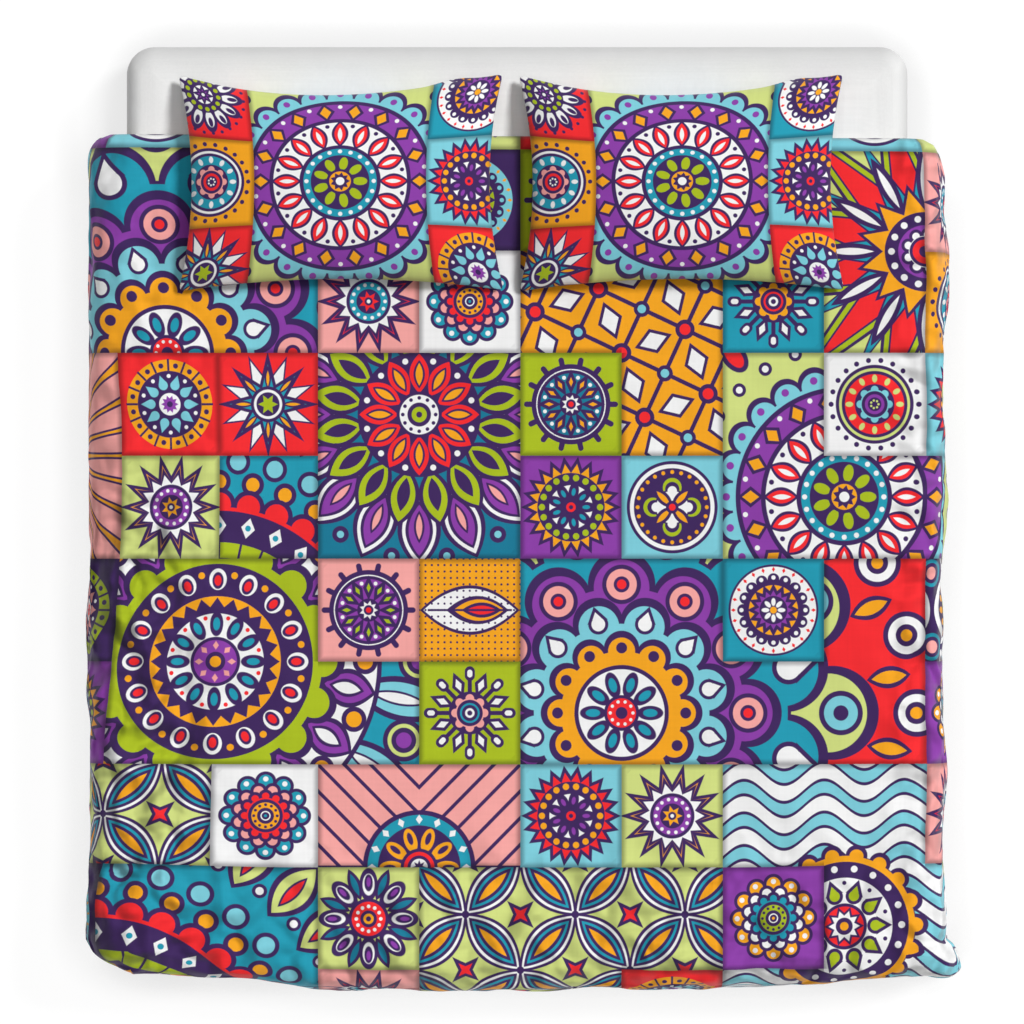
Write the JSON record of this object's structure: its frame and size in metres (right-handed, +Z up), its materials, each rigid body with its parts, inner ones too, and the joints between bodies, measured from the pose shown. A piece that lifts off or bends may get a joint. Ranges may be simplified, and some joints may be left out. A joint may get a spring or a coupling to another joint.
{
  "type": "duvet cover set on a mattress",
  "caption": "Filled duvet in a printed patchwork cover, draped over the sides and foot of a plain mattress, with pillows in matching covers across its head edge.",
  "frame": {"origin": "middle of the mattress underside, on the floor", "axes": "+Z up; +Y along the bed towards its head, where the pillows lie; +X across the bed to the right of somebody who looks at it from the foot"},
  "size_m": [2.0696, 2.2243, 0.5445],
  "materials": {
    "ticking": "matt white woven mattress ticking",
    "printed_cotton": null
  },
  "bodies": {
    "root": {"mattress": "ticking", "duvet_cover": "printed_cotton", "pillow_left": "printed_cotton", "pillow_right": "printed_cotton"}
  },
  "joints": []
}
